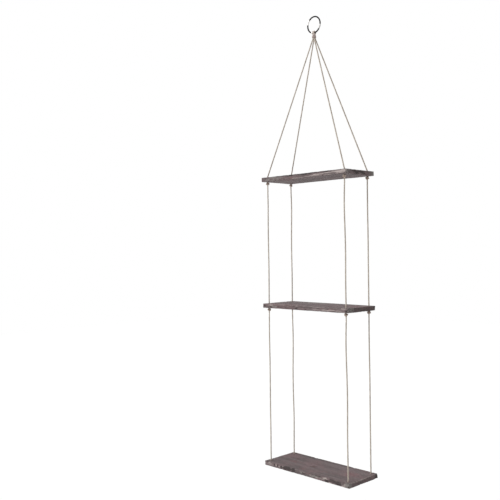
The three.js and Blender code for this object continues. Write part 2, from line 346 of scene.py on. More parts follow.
def fibres_on(line, radius, spacing, rng):
    """Fibres at random places along a rope, with their roots under its surface."""
    side, other = cross_directions(line)
    tangent = unit(np.gradient(line, axis=0))
    made = []
    for _ in range(round(steps_of(line).sum() / spacing)):
        index = rng.integers(1, len(line) - 1)
        angle = rng.uniform(0, 2 * np.pi)
        away = math.cos(angle) * side[index] + math.sin(angle) * other[index]
        around = np.cross(tangent[index], away)
        along = unit(rng.choice([-1, 1]) * tangent[index] + rng.uniform(-fibre_veer, fibre_veer) * around)
        reach = rng.uniform(*fibre_lengths)
        root = line[index] + away * radius * root_share
        made.append(fibre_arrays(root, away, along, reach, rng.uniform(*fibre_curls)))
    return made


# %% Rope
strands = 3
points_per_strand = 8
fibre_spacing = 0.0035
strand_squash = 0.62
strand_swell = 1.085
dome_start, dome_steps = 0.75, 3


def rope_section(radius, angles):
    """How far the outline of touching strands lies from the rope's middle, and how deep in a groove."""
    strand_radius = radius * strand_swell / (1 + strand_squash / math.sin(math.pi / strands))
    offset = radius * strand_swell - strand_radius
    lobe = 2 * math.pi / strands
    within = (angles + lobe / 2) % lobe - lobe / 2
    reach = offset * np.cos(within) + np.sqrt(strand_radius**2 - (offset * np.sin(within)) ** 2)
    return reach, 1 - (reach - reach.min()) / (reach.max() - reach.min())


def make_rope(name, points, radius=rope_radius, lay=rope_lay, seed=0, spacing=fibre_spacing, fineness=1):
    """A laid rope along the points. Its lay is counted from its last point's height."""
    line = smooth_line(points, lay / rings_per_lay / fineness)
    count = points_per_strand * strands
    angles = round_angles(count)
    reach, groove = rope_section(radius, angles)
    left = np.concatenate([np.cumsum(steps_of(line[::-1]))[::-1], [0]])
    twist = 2 * np.pi * (left + points[-1][2]) / lay
    dome = np.sqrt(1 - np.linspace(dome_start, 0, dome_steps, endpoint=False) ** 2)
    fullness = np.ones(len(line))
    fullness[:dome_steps] = dome
    fullness[-dome_steps:] = dome[::-1]
    rope_points, rope_faces, local = tube_arrays(line, reach * fullness[:, None], angles + twist[:, None])
    fibres = fibres_on(line, radius, spacing, np.random.default_rng(seed))
    all_points, all_faces = join_arrays([(rope_points, rope_faces), *fibres])
    along = np.concatenate([np.repeat(left, count), [left[0], left[-1]]])
    place = np.zeros((len(all_points), 3))
    place[: len(rope_points)] = np.column_stack([local, along])
    place[len(rope_points):, 2] = np.arange(len(all_points) - len(rope_points)) * fibre_radius
    depth = np.zeros(len(all_points))
    depth[: len(rope_points) - 2] = np.tile(groove, len(line))
    return make_object(name, all_points, all_faces, fibre_place=place, groove=depth), line


def lay_rope(node, points, body, name=None, **settings):
    """Make a piece of rope that stands for an engineering solid and moves with a body."""
    rope, _ = make_rope(name or f"laid_{node}", points, **settings)
    return dress(rope, body, node)


# %% The twelve free stretches of rope
def hang_rope(node, points, body, seed):
    """Make a stretch that stands for its solid, and let it move with its body."""
    rope, line = make_rope(f"laid_{node}", points, seed=seed)
    dress(rope, body, node)
    return rope


spans = (("middle", "top", "middle", 31), ("lower", "middle", "bottom", 51))
ropes = []
for index, corner in enumerate(corner_names):
    points = upper_points(corner)
    ropes.append(hang_rope(f"upper_rope_{corner}", points, "top_tier", 11 + index))
    for span, upper_tier, lower_tier, first_seed in spans:
        node = f"{span}_rope_{corner}"
        points = span_points(span, corner, upper_tier, lower_tier)
        ropes.append(hang_rope(node, points, node, first_seed + index))

# %% [markdown]
# ## Rope inside the planks
#
# Each tier can lean away from its neighbours, so a rope bends where it enters a plank. The stretch above the
# plank and the stretch inside it overlap by a few millimetres round the bend, and their ends are domed, so
# no gap opens when the shelf sways. The rear left rope has one more short piece there: its bend is the
# joint that the others follow.

# %% Short stretches through the middle plank, and two short feet
# A foot is thinner than the rope, so that its surface stays inside the two ends that it joins.
foot_radius = rope_radius * 0.93
straight_points = 6


def straight_down(corner, high, low):
    x, y = corners[corner]
    return [(x, y, z) for z in np.linspace(high, low, straight_points)]


for index, corner in enumerate(corner_names):
    points = straight_down(corner, foot_z["middle"] + end_overlap, knot_z["middle"])
    ropes.append(lay_rope(f"middle_through_{corner}", points, "middle_tier", seed=71 + index))

for tier, span in (("middle", "middle"), ("bottom", "lower")):
    points = straight_down("rear_left", foot_z[tier] + end_overlap, foot_z[tier] - end_overlap)
    node = f"{span}_rope_foot"
    ropes.append(lay_rope(node, points, node, radius=foot_radius, seed=75))
print(f"{len(ropes)} stretches of rope")

# %% [markdown]
# ## Stopper knots
#
# Under each plank the rope runs down, climbs round its own two legs and leaves through the middle. Pulling
# such a knot tight with a physics engine is slow and doesn't always end in a knot, so its line is given:
# two legs side by side, and a turn and a quarter on an oval round both. The rope is squeezed there,
# so the lines lie a little closer than one rope's thickness. Handling has left the knots browner.

# %% The line of a knot in millimetres, round its own centre
leg_side = 1.6
wind_half_x, wind_half_y = 4.8, 3.7
wind_half_height = 2.8
wind_start, wind_end = 225, 675
wind_step = 25
knot_turn = {"front_left": 205, "front_right": 250, "rear_left": 120, "rear_right": 35}
knot_lead_in = [(0, 0, 5.2), (-1.0, 0, 3.8), (-leg_side, 0, 1.8), (-leg_side, 0, -1.1), (-2.2, -1.0, -2.8)]
knot_lead_out = [(2.4, -0.9, 3.9), (1.7, 0, 2.6), (leg_side, 0, 0), (1.3, 0, -2.7), (0.4, 0, -5.0)]
knot_detail = {"spacing": 0.0018, "fineness": 2}


def knot_points(corner, z, rise=(), tail=((0, 0, -6.6),)):
    """Points of a knot about its centre, with points to come before it and after it."""
    winding = []
    for angle in np.arange(wind_start, wind_end + 1, wind_step):
        share = (angle - wind_start) / (wind_end - wind_start)
        x = wind_half_x * math.cos(math.radians(angle))
        y = wind_half_y * math.sin(math.radians(angle))
        winding.append((x, y, wind_half_height * (2 * share - 1)))
    local = np.array([*rise, *knot_lead_in, *winding, *knot_lead_out, *tail])
    turn = math.radians(knot_turn[corner])
    x = local[:, 0] * math.cos(turn) - local[:, 1] * math.sin(turn)
    y = local[:, 0] * math.sin(turn) + local[:, 1] * math.cos(turn)
    centre = (*corners[corner], z)
    return [tuple(point) for point in np.column_stack([x, y, local[:, 2]]) * mm + centre]


knots = []
for index, corner in enumerate(corner_names):
    for tier, first_seed in (("top", 81), ("middle", 91)):
        node = f"{tier}_knot_{corner}"
        points = knot_points(corner, knot_z[tier])
        knots.append(lay_rope(node, points, node, seed=first_seed + index, **knot_detail))
print(f"{len(knots)} knots on the ropes")

# %% [markdown]
# The bottom knots end the ropes. Each sits in a flat bored recess, so that hardly any of it shows from the
# side, and its cut end frays. Here the rope inside the plank, the knot and the tail are one line.

# %% Bottom knots
rise_from = (foot_z["bottom"] - knot_z["bottom"]) / mm + end_overlap / mm
rise_to = 7.4
rise = [(0, 0, height) for height in np.linspace(rise_from, rise_to, straight_points)]
tails = {
    "front_left": [(0, 0, -6.2), (0.5, 0.3, -7.6)],
    "front_right": [(0, 0, -6.2), (-0.4, 0.5, -7.4)],
    "rear_left": [(0, 0, -6.2), (0.2, -0.6, -7.8)],
    "rear_right": [(0, 0, -6.2), (-0.6, -0.2, -7.5)],
}
for index, corner in enumerate(corner_names):
    points = knot_points(corner, knot_z["bottom"], rise, tails[corner])
    knots.append(lay_rope(f"bottom_knot_{corner}", points, "bottom_tier", seed=101 + index, **knot_detail))
print(f"{len(knots)} knots in all")

# %% [markdown]
# ## The crown
#
# Two ropes are folded in half over the ring, which makes four legs. Twine holds the legs together under the
# ring. The ring can turn in the folds, so each fold is drawn as a closed eye of rope round the wire and the
# legs come down out of its sides. The eye's lay fits its girth, so that its two ends meet strand on strand.

# %% Eyes on the ring and the short neck under them
wire_radius = (ring_high.y - ring_low.y) / 2
ring_radius = (ring_high.x - ring_low.x) / 2 - wire_radius
ring_centre = (ring_low + ring_high) / 2
hitch_z = ring_centre.z - ring_radius
eye_radius = wire_radius + rope_gap + rope_radius
eye_angle = math.asin(middle_of("ring_loop_right").x / ring_radius)
lays_in_eye = 2
eye_lay = 2 * math.pi * eye_radius / lays_in_eye
eye_overlap, eye_points = 0.4, 40
eye_detail = {"spacing": 0.002, "fineness": 2}
neck_tuck = 0.0015
neck_end_z = lashing_high.z - neck_tuck

eye_ropes = []
sideways = np.array([0, 1, 0])
turns = np.linspace(math.pi - eye_overlap, 3 * math.pi + eye_overlap, eye_points)
for side, node in ((-1, "ring_loop_left"), (1, "ring_loop_right")):
    outward = np.array([math.sin(side * eye_angle), 0, -math.cos(side * eye_angle)])
    eye_centre = np.array(ring_centre) + ring_radius * outward
    points = [eye_centre + eye_radius * (math.cos(t) * outward + math.sin(t) * sideways) for t in turns]
    eye_ropes.append(lay_rope(node, points, "ring_loops", lay=eye_lay, seed=111 + side, **eye_detail))

# Each leg leaves the side of its eye and closes in on its place in the bundle.
for index, (x_side, y_side) in enumerate(((-1, -1), (1, -1), (1, 1), (-1, 1))):
    x, y = x_side * leg_offset, y_side * leg_offset
    points = [
        (x * 1.1, y_side * eye_radius * 0.8, hitch_z - eye_radius * 0.6),
        (x * 1.08, y_side * eye_radius * 0.7, hitch_z - eye_radius),
        (x * 1.03, y * 1.12, hitch_z - eye_radius * 1.5),
        (x, y, hitch_z - eye_radius * 2),
        (x, y, neck_end_z),
    ]
    name = f"neck_leg_{index}"
    eye_ropes.append(lay_rope("crown_neck", points, "crown_neck", name, seed=121 + index, fineness=2))
ropes += eye_ropes
print(f"eyes {eye_radius * 2 / mm:.1f} mm across at {eye_angle:.3f} rad")

# %% Lashing
# A close helix of twine goes round the four legs. Both its ends are tucked in between them.
twine_dia, twine_lay = 0.0015, 0.0055
twine_detail = {"radius": twine_dia / 2, "lay": twine_lay, "spacing": 0.003}
lashing_radius = (lashing_high.x - lashing_low.x) / 2 - twine_dia / 2
lashing_top, lashing_end = lashing_high.z - twine_dia / 2, lashing_low.z + twine_dia / 2
lashing_turns = 5.25
last_angle = lashing_turns * 360
angle_step = 18
tuck_steps = [(-75, 2.8), (-50, 4.2), (-25, 5.9)]
tuck_rise = 0.0004

coil = [(angle, reach * mm, lashing_top + tuck_rise) for angle, reach in tuck_steps]
for angle in np.arange(0, last_angle + 1, angle_step):
    coil.append((angle, lashing_radius, lashing_top + (lashing_end - lashing_top) * angle / last_angle))
coil += [(last_angle - angle, reach * mm, lashing_end - tuck_rise) for angle, reach in reversed(tuck_steps)]
points = [(r * math.cos(math.radians(a)), r * math.sin(math.radians(a)), z) for a, r, z in coil]
lashing = lay_rope("crown_lashing", points, "top_tier", "wound_crown_lashing", seed=131, **twine_detail)
print(f"{lashing_turns} turns of twine")

# %% [markdown]
# ## The ring
#
# A welded ring of round wire. The engineering solid has few facets, and a ring is where a coarse outline
# shows first, so it is made again with many. A small smooth swelling is left where its ends were welded.
# The ring is dark, with painted highlights in a few places: bright bare steel where the highlights fall.
# Their angles are given, and the mesh keeps the result as a value at each point for the steel finish to use.

# %% Ring
ring_stations, ring_facets = 180, 28
weld_angle, weld_width, weld_swell = math.radians(205), 0.035, 0.09
# Painted highlights round the ring: the angle of each in degrees, its width and its amount.
rubbed_places = [(153, 21, 0.95), (337, 20, 0.7), (254, 9, 0.8)]

around, section = round_angles(ring_stations), round_angles(ring_facets)
swell = 1 + weld_swell * np.exp(-(((around - weld_angle) / weld_width) ** 2))
reach = ring_radius + wire_radius * swell[:, None] * np.cos(section)
ring_points = np.stack([
    ring_centre.x + reach * np.cos(around)[:, None],
    ring_centre.y + wire_radius * swell[:, None] * np.sin(section),
    ring_centre.z + reach * np.sin(around)[:, None],
], axis=-1).reshape(-1, 3)
ring_faces = []
for i, j in np.ndindex(ring_stations, ring_facets):
    next_i, next_j = (i + 1) % ring_stations, (j + 1) % ring_facets
    quad = ((i, j), (next_i, j), (next_i, next_j), (i, next_j))
    ring_faces.append(tuple(a * ring_facets + b for a, b in quad))
rubbed = np.zeros(ring_stations)
for centre, width, amount in rubbed_places:
    gap = (np.degrees(around) - centre + 180) % 360 - 180
    rubbed = np.maximum(rubbed, amount * np.exp(-np.abs(gap / width) ** 3))
ring = make_object("round_ring", ring_points, ring_faces, rubbed=np.repeat(rubbed, ring_facets))
dress(ring, "hanging_ring", "hanging_ring")
print(f"ring of {len(ring_faces)} faces")

# %% [markdown]
# ## The planks
#
# The planks are old wood: sawn by hand, rubbed pale along some edges, chipped and dark in others. A bump map
# can't break an outline, so the wear is in the mesh. Each plank is a box whose sides are divided closely
# near the edges. Its edges are rounded by an uneven radius, and a seeded noise sinks chips into them.
# Where the wear lies follows the pattern of old planks and is given as blobs with a centre and a reach.

# %% Smooth noise that repeats on every run
def value_noise(points, cell, seed):
    """Noise from 0 to 1 whose humps are about one cell apart. The cell may have a size for each axis."""
    scaled = points / np.array(cell)
    base = np.floor(scaled).astype(int)
    part = scaled - base
    part = part * part * (3 - 2 * part)
    base -= base.min(axis=0)
    table = np.random.default_rng(seed).random(base.max(axis=0) + 2)
    total = np.zeros(len(points))
    for corner in np.ndindex(2, 2, 2):
        weight = np.prod(np.where(corner, part, 1 - part), axis=1)
        total += weight * table[tuple((base + corner).T)]
    return total


def smooth_step(values, low, high):
    share = np.clip((values - low) / (high - low), 0, 1)
    return share * share * (3 - 2 * share)


# %% A box with divided sides
edge_zone = 0.005
edge_spacing = 0.0006
face_spacing = 0.0019


def divided(low, high):
    """Places from low to high that lie closer together near both ends."""
    near = np.arange(0, edge_zone, edge_spacing)
    if high - low < 4 * edge_zone:
        return np.linspace(low, high, round((high - low) / edge_spacing) + 1)
    count = round((high - low - 2 * edge_zone) / face_spacing) + 1
    middle = np.linspace(low + edge_zone, high - edge_zone, count)
    return np.concatenate([low + near, middle, (high - near)[::-1]])


def lattice_box(xs, ys, zs):
    """Points and faces of a closed box whose sides are divided at the given places."""
    size = (len(xs), len(ys), len(zs))
    number = np.arange(np.prod(size)).reshape(size)
    quads = []
    for axis in range(3):
        for end in (0, -1):
            sheet = np.take(number, end, axis=axis)
            quad = np.stack([sheet[:-1, :-1], sheet[1:, :-1], sheet[1:, 1:], sheet[:-1, 1:]], axis=-1)
            if (end == 0) == (axis != 1):
                quad = quad[..., ::-1]
            quads.append(quad.reshape(-1, 4))
    used, faces = np.unique(np.concatenate(quads), return_inverse=True)
    i, j, k = np.unravel_index(used, size)
    return np.column_stack([xs[i], ys[j], zs[k]]), faces.reshape(-1, 4)


# %% [markdown]
# Each blob of wear has its centre in shares of the plank's half length, half depth and half thickness, its
# reach in millimetres along the same three directions, and an amount.

# %% Where each plank is worn
front, rear, upper, under = -1, 1, 1, -1
wear_kinds = ("dark", "pale", "red", "grey", "knot")
wear = {
    ("top", "dark"): [
        ((-0.55, front, 0.9), (60, 3.4, 4), 1.4), ((-0.28, front, 0.8), (16, 3.4, 5), 1.7),
        ((0.06, front, 0.7), (26, 3.4, 5.5), 2.0), ((0.34, front, 0.95), (40, 3.4, 3.6), 1.6),
        ((0.57, front, 0.8), (10, 3.4, 5), 1.7), ((0.78, front, 0.95), (30, 3.4, 3), 1.1),
        ((-0.9, front, 0.1), (12, 3, 5), 0.6), ((-1, -0.2, 0.2), (3, 40, 5), 0.8),
        ((-1, 0.6, -0.4), (3, 20, 5), 0.8), ((1, -0.52, 0.7), (4, 9, 3.6), 1.7),
        ((1, -0.36, 0.25), (4, 8, 3.6), 1.7), ((1, -0.2, -0.2), (4, 8, 3.4), 1.6),
        ((1, -0.02, 0.5), (4, 8, 3.6), 1.6), ((1, 0.16, 0.05), (4, 8, 3.6), 1.7),
        ((1, 0.3, -0.35), (4, 8, 3.2), 1.4), ((0.95, -0.3, under), (12, 10, 3), 0.8),
        ((-0.5, rear, 0.5), (60, 3, 5), 0.7), ((0.4, rear, -0.4), (50, 3, 5), 0.8),
    ],
    ("top", "pale"): [
        ((-0.12, front, under), (40, 3, 3), 1.2), ((0.2, front, -0.7), (30, 3, 2), 1.5),
        ((0.3, front, -0.45), (18, 3, 2), 1.8), ((0.42, front, -0.15), (24, 3, 2), 1.4),
        ((0.6, front, 0.05), (24, 3, 2), 1.3), ((0.55, front, -0.8), (50, 3, 2), 0.9),
        ((0.78, front, 0.3), (22, 3, 5), 1.1), ((0.91, front, 0.2), (18, 4, 9), 1.4),
        ((1, -0.93, 0.2), (5, 8, 8), 0.8), ((0.93, -0.8, under), (9, 9, 2), 0.8),
        ((-0.3, rear, upper), (70, 3, 3), 0.7), ((-0.85, front, -0.6), (20, 3, 4), 0.6),
    ],
    ("top", "red"): [
        ((-0.25, front, -0.2), (40, 8, 8), 0.9), ((-0.45, -0.5, under), (70, 26, 3), 0.8),
        ((0.6, 0.4, under), (60, 40, 3), 0.6), ((0.2, 0.3, upper), (60, 20, 3), 0.6),
        ((1, 0.45, 0), (6, 18, 9), 0.7),
    ],
    ("top", "grey"): [
        ((1, 0.88, 0), (8, 18, 12), 1.2), ((1, -0.85, 0), (8, 16, 12), 1.0),
        ((-0.72, front, 0), (60, 8, 12), 0.8), ((0.8, front, 0), (44, 4, 10), 0.7),
        ((-0.75, 0, under), (70, 70, 3), 0.7), ((-1, 0, 0), (6, 90, 12), 0.5),
    ],
    ("top", "knot"): [
        ((0.76, 0.1, under), (12, 7, 3), 1.0), ((-0.3, -0.45, upper), (9, 7, 3), 1.2),
        ((0.55, 0.5, upper), (7, 5, 3), 1.1),
    ],
    ("middle", "dark"): [
        ((-0.96, front, -0.1), (7, 3, 6), 1.0), ((-0.79, front, -0.6), (7, 3, 4), 1.3),
        ((-0.4, front, -0.2), (60, 3, 2.2), 0.8), ((-0.16, front, -0.6), (8, 3, 5), 1.4),
        ((0.12, front, 0.35), (50, 3, 2), 0.8), ((0.1, front, -0.8), (30, 3, 3), 0.9),
        ((0.55, front, 0.2), (40, 3, 2), 0.9), ((0.72, front, -0.7), (40, 3, 2.4), 1.0),
        ((0.98, front, -0.2), (6, 3, 7), 1.3), ((1, 0.02, -0.8), (4, 12, 4), 1.7),
        ((1, -0.2, 0.35), (4, 7, 3), 1.2), ((1, 0.45, 0), (4, 26, 9), 0.8), ((1, 0.97, 0), (4, 9, 12), 1.5),
        ((-0.95, 0.4, upper), (26, 30, 3), 0.6), ((-1, 0.3, 0), (4, 40, 6), 0.7),
        ((0.2, rear, 0), (60, 3, 5), 0.7),
    ],
    ("middle", "pale"): [
        ((-0.82, front, 0.5), (14, 3, 3), 0.7), ((-0.45, front, upper), (110, 3.4, 2.4), 0.8),
        ((0.45, front, upper), (110, 3.6, 2.4), 0.9), ((-0.25, front, 0.25), (90, 3, 2), 0.6),
        ((0.2, front, -0.35), (80, 3, 2.2), 0.8), ((0.6, front, -0.2), (40, 3, 2.2), 1.1),
        ((0.82, front, -0.5), (24, 3, 2.4), 1.1), ((0.93, front, -0.95), (14, 4, 3), 1.4),
        ((0.93, front, 0.7), (14, 4, 4), 0.9), ((1, -0.94, 0), (4, 6, 9), 0.7),
        ((0.5, rear, upper), (60, 3, 3), 0.6),
    ],
    ("middle", "red"): [
        ((0.2, -0.5, upper), (110, 20, 3), 0.8), ((0.8, 0.1, upper), (50, 44, 3), 0.9),
        ((-0.55, -0.7, upper), (70, 18, 3), 0.7), ((0.5, front, 0), (60, 4, 8), 0.7),
        ((1, 0.5, 0.1), (5, 22, 8), 0.8), ((-0.2, 0.4, under), (80, 20, 3), 0.5),
    ],
    ("middle", "grey"): [
        ((-0.35, 0.65, upper), (110, 34, 3), 1.0), ((-0.9, -0.2, upper), (30, 50, 3), 0.8),
        ((-0.7, front, -0.2), (30, 4, 8), 0.8), ((1, -0.75, 0), (4, 24, 12), 1.0),
        ((-1, -0.4, 0), (6, 50, 12), 0.5),
    ],
    ("middle", "knot"): [
        ((-0.08, -0.35, upper), (13, 7, 3), 1.0), ((0.26, -0.2, upper), (12, 9, 3), 1.0),
        ((-0.45, -0.5, upper), (10, 6, 3), 0.9), ((0.4, 0.3, under), (8, 6, 3), 1.2),
    ],
    ("bottom", "dark"): [
        ((-0.93, front, 0.75), (8, 4, 3.4), 1.2), ((-0.75, front, 0.3), (3.6, 4, 7), 1.6),
        ((-0.67, front, 0.3), (3.6, 4, 6), 1.6), ((-0.58, front, 0.0), (4.5, 4, 7), 1.5),
        ((-0.49, front, 0.2), (10, 4, 7), 2.0), ((-0.4, front, 0.3), (12, 5, 7), 1.9),
        ((-0.28, front, 0.0), (7, 5, 9), 3.2), ((-0.05, front, 0.1), (9, 4, 3), 0.9),
        ((0.1, front, -0.6), (40, 3, 3), 0.8), ((0.3, front, 0.65), (26, 4, 2.4), 0.9),
        ((0.5, front, -0.4), (10, 4, 4.4), 2.2), ((0.63, front, 0.3), (14, 5, 5), 2.2),
        ((0.77, front, -0.1), (12, 5, 6), 2.2), ((0.98, front, -0.3), (3, 4, 4), 1.2),
        ((1, -0.15, -0.1), (4, 60, 7), 0.75), ((1, 0.96, 0), (5, 11, 13), 2.0),
        ((-0.5, 0.86, upper), (90, 8, 3), 0.8), ((0.4, 0.97, upper), (80, 5, 3), 0.5),
        ((-1, -0.3, 0), (4, 50, 6), 0.8),
    ],
    ("bottom", "pale"): [
        ((-0.86, front, 0), (26, 6, 9), 0.75), ((-0.71, front, 0.2), (2.2, 4, 6), 1.1),
        ((-0.63, front, 0.1), (2.2, 4, 5), 1.2), ((-0.54, front, 0.5), (2.2, 4, 4), 1.2),
        ((-0.2, front, 0.3), (7, 4, 6), 0.6), ((-0.05, front, 0.7), (24, 4, 3), 0.75),
        ((0.2, front, 0.0), (40, 4, 3), 0.7), ((0.47, front, 0.55), (15, 7, 4), 1.25),
        ((0.58, front, -0.75), (12, 3, 3), 0.9), ((0.87, front, -0.7), (10, 4, 4), 1.6),
        ((0.9, front, 0.3), (6, 4, 5), 0.8), ((1, -0.1, upper), (4, 80, 3.2), 1.1),
        ((0.93, 0.8, upper), (9, 7, 3), 0.9), ((0.2, rear, upper), (50, 3, 3), 0.5),
    ],
    ("bottom", "red"): [
        ((-0.55, -0.1, upper), (40, 20, 3), 0.9), ((-0.16, -0.75, upper), (26, 12, 3), 1.0),
        ((0.74, 0.1, upper), (44, 30, 3), 1.1), ((0.3, -0.4, upper), (60, 14, 3), 0.7),
        ((0.05, front, 0.6), (26, 5, 5), 0.9), ((0.8, -0.9, upper), (24, 8, 4), 0.9),
        ((1, 0.3, 0), (5, 44, 8), 0.8), ((0.1, 0.3, under), (70, 20, 3), 0.5),
    ],
    ("bottom", "grey"): [
        ((0.97, -0.97, 0.2), (16, 12, 12), 1.3), ((-0.93, -0.95, 0.8), (22, 14, 8), 0.7),
        ((0.25, front, 0), (70, 3, 7), 0.9), ((-0.45, front, 0), (30, 3, 8), 0.7),
        ((1, 0.95, upper), (6, 10, 4), 0.8),
    ],
    ("bottom", "knot"): [
        ((-0.08, -0.16, upper), (15, 12, 3), 1.6), ((-0.62, 0.3, upper), (12, 9, 3), 1.2),
        ((0.14, 0.34, upper), (11, 9, 3), 1.0), ((0.62, 0.36, upper), (8, 6, 3), 0.9),
        ((-0.5, 0.2, under), (9, 7, 3), 1.3),
    ],
}
print({tier: sum(len(wear[tier, kind]) for kind in wear_kinds) for tier in tiers})

# %% How strong the wear is at each point
most_wear = 1.6


def wear_at(points, low, high, blobs):
    """How strong the blobs are at each point. Above 1 the wood between the specks goes too."""
    centre, half = (low + high) / 2, (high - low) / 2
    total = np.zeros(len(points))
    for shares, reach, amount in blobs:
        gap = (points - (centre + half * np.array(shares))) / (np.array(reach) * mm)
        total += amount * np.exp(-(gap**2).sum(axis=1))
    return np.clip(total, 0, most_wear)


# %% Wear the surface of a plank
edge_round = 0.0011
edge_reach = 0.006
deepest_chip, deepest_pit = 0.0019, 0.0009
chip_range, pit_range = (0.58, 0.8), (0.6, 0.85)
plank_waves, raised_grain = 0.0006, 0.00022
stands_proud = 0.0003
noise_cells = {
    "edge": (0.035, 0.02, 0.02),
    "coarse": (0.011, 0.006, 0.006),
    "small": (0.0045, 0.0026, 0.0026),
    "wave": (0.09, 0.03, 0.05),
    "grain": (0.02, 0.0022, 0.0022),
}


def worn_plank(points, low, high, tier, seed):
    """Round the edges unevenly, sink chips into them and let the faces wave a little."""
    noise = {}
    for index, (title, cell) in enumerate(noise_cells.items()):
        noise[title] = value_noise(points, cell, seed + index)
    radius = (edge_round * (0.7 + 1.1 * noise["edge"]))[:, None]
    inner = np.clip(points, low + radius, high - radius)
    outward = unit(points - inner)
    beyond = np.sort(np.minimum(points - low, high - points), axis=1)[:, 1]
    near_edge = np.clip(1 - beyond / edge_reach, 0, 1)
    dark = np.minimum(wear_at(points, low, high, wear[tier, "dark"]), 1)
    chipped = smooth_step(noise["coarse"] * 0.6 + noise["small"] * 0.4 + 0.22 * dark, *chip_range)
    pitted = smooth_step(noise["small"] * 0.7 + noise["coarse"] * 0.3, *pit_range) * dark
    depth = deepest_chip * chipped * near_edge**1.3 * (0.45 + 0.55 * dark)
    depth += deepest_pit * pitted
    depth += plank_waves * noise["wave"]
    depth += raised_grain * noise["grain"]
    return inner + radius * outward + outward * (stands_proud - depth)[:, None]


# %% Bore the planks
rope_hole_radius, recess_radius = 0.00275, 0.008
bore_sides = 32
past_face = 0.01


def bore(plank, radius, low, high):
    """Cut round holes with the exact solver of the Boolean modifier, and keep the result as plain mesh."""
    angles = -round_angles(bore_sides)
    circle = radius * np.column_stack([np.cos(angles), np.sin(angles)])
    here = range(bore_sides)
    faces = [tuple(here), tuple(i + bore_sides for i in reversed(here))]
    for i in here:
        beside = (i + 1) % bore_sides
        faces.append((i + bore_sides, beside + bore_sides, beside, i))
    parts = []
    for place in corners.values():
        rims = [np.column_stack([np.array(place) + circle, np.full(bore_sides, z)]) for z in (low, high)]
        parts.append((np.concatenate(rims), faces))
    drill = make_object("drill", *join_arrays(parts))
    cut = plank.modifiers.new("bore", "BOOLEAN")
    cut.operation = "DIFFERENCE"
    cut.solver = "EXACT"
    cut.object = drill
    bpy.context.view_layer.update()
    evaluated = plank.evaluated_get(bpy.context.evaluated_depsgraph_get())
    mesh = bpy.data.meshes.new_from_object(evaluated)
    plank.modifiers.clear()
    plank.data = mesh
    bpy.data.objects.remove(drill)


# %% Make the three planks
planks = {}
sharp_angle = math.radians(55)
for tier, seed in (("top", 200), ("middle", 220), ("bottom", 240)):
    low, high = (np.array(corner) for corner in board_boxes[tier])
    points, faces = lattice_box(*(divided(a, b) for a, b in zip(low, high)))
    plank = make_object(f"worn_{tier}_board", worn_plank(points, low, high, tier, seed), faces.tolist())
    bore(plank, rope_hole_radius, low[2] - past_face, high[2] + past_face)
    if tier == "bottom":
        bore(plank, recess_radius, low[2] - past_face, low[2] + recess_depth)
    surface = np.empty(len(plank.data.vertices) * 3, np.float32)
    plank.data.vertices.foreach_get("co", surface)
    surface = surface.reshape(-1, 3).astype(float)
    for kind in wear_kinds:
        layer = plank.data.attributes.new(f"{kind}_wear", "FLOAT", "POINT")
        layer.data.foreach_set("value", wear_at(surface, low, high, wear[tier, kind]).astype(np.float32))
    plank.data.set_sharp_from_angle(angle=sharp_angle)
    planks[tier] = dress(plank, f"{tier}_tier", f"{tier}_board")
    print(f"{plank.name}: {len(plank.data.polygons)} faces")

# %% [markdown]
# ## Materials from shared effects
#
# Several finishes need the same effects: fibres along a rope, the grain of sawn wood, and specks of wear.
# Each effect is a node group that puts out masks and heights only. The Principled shader stays in each
# material, so that a finish can mix its own colours with the masks.

# %% Helpers for node trees
def feed(tree, socket, value):
    """Link a socket to another node's output, or set it to a plain value."""
    if isinstance(value, bpy.types.NodeSocket):
        tree.links.new(value, socket)
    else:
        socket.default_value = value


def add_node(tree, kind, settings=None, **values):
    """A node with its settings, and its inputs by name."""
    node = tree.nodes.new(kind)
    for title, value in (settings or {}).items():
        setattr(node, title, value)
    for title, value in values.items():
        feed(tree, node.inputs[title.replace("_", " ")], value)
    return node


def feed_in_order(tree, node, values):
    """Feed a node's inputs from the first one on, and give its first output."""
    for socket, value in zip(node.inputs, values):
        feed(tree, socket, value)
    return node.outputs[0]


def add_math(tree, operation, *values):
    """The result of one step of arithmetic on numbers."""
    return feed_in_order(tree, add_node(tree, "ShaderNodeMath", {"operation": operation}), values)


def add_vectors(tree, operation, *values):
    """The result of one step of arithmetic on places or directions."""
    return feed_in_order(tree, add_node(tree, "ShaderNodeVectorMath", {"operation": operation}), values)


def product(tree, first, second):
    return add_math(tree, "MULTIPLY", first, second)


def weighted_sum(tree, *terms):
    """The sum of some values, each times its own weight."""
    result, *others = [product(tree, *term) for term in terms]
    for other in others:
        result = add_math(tree, "ADD", result, other)
    return result


def add_blend(tree, factor, dark, light):
    """A colour between two others."""
    node = add_node(tree, "ShaderNodeMix", {"data_type": "RGBA"})
    for socket, value in zip((node.inputs[0], node.inputs[6], node.inputs[7]), (factor, dark, light)):
        feed(tree, socket, value)
    return node.outputs[2]


def add_range(tree, value, low, high, to_low=0.0, to_high=1.0):
    """A value spread from one range to another and kept within it."""
    ranges = {"From_Min": low, "From_Max": high, "To_Min": to_low, "To_Max": to_high}
    node = add_node(tree, "ShaderNodeMapRange", {"interpolation_type": "SMOOTHSTEP"}, Value=value, **ranges)
    return node.outputs["Result"]


def add_noise(tree, place, factors, detail, roughness=0.5):
    """A noise with about as many humps in a metre along each axis as the factors say."""
    squeezed = add_vectors(tree, "MULTIPLY", place, factors)
    values = {"Vector": squeezed, "Scale": 1.0, "Detail": detail, "Roughness": roughness}
    return add_node(tree, "ShaderNodeTexNoise", **values).outputs["Fac"]


def surface_value(tree, name, kind="Fac"):
    """What the mesh itself carries at each point."""
    return add_node(tree, "ShaderNodeAttribute", {"attribute_name": name}).outputs[kind]


def own_place_of(tree):
    return add_node(tree, "ShaderNodeTexCoord").outputs["Object"]


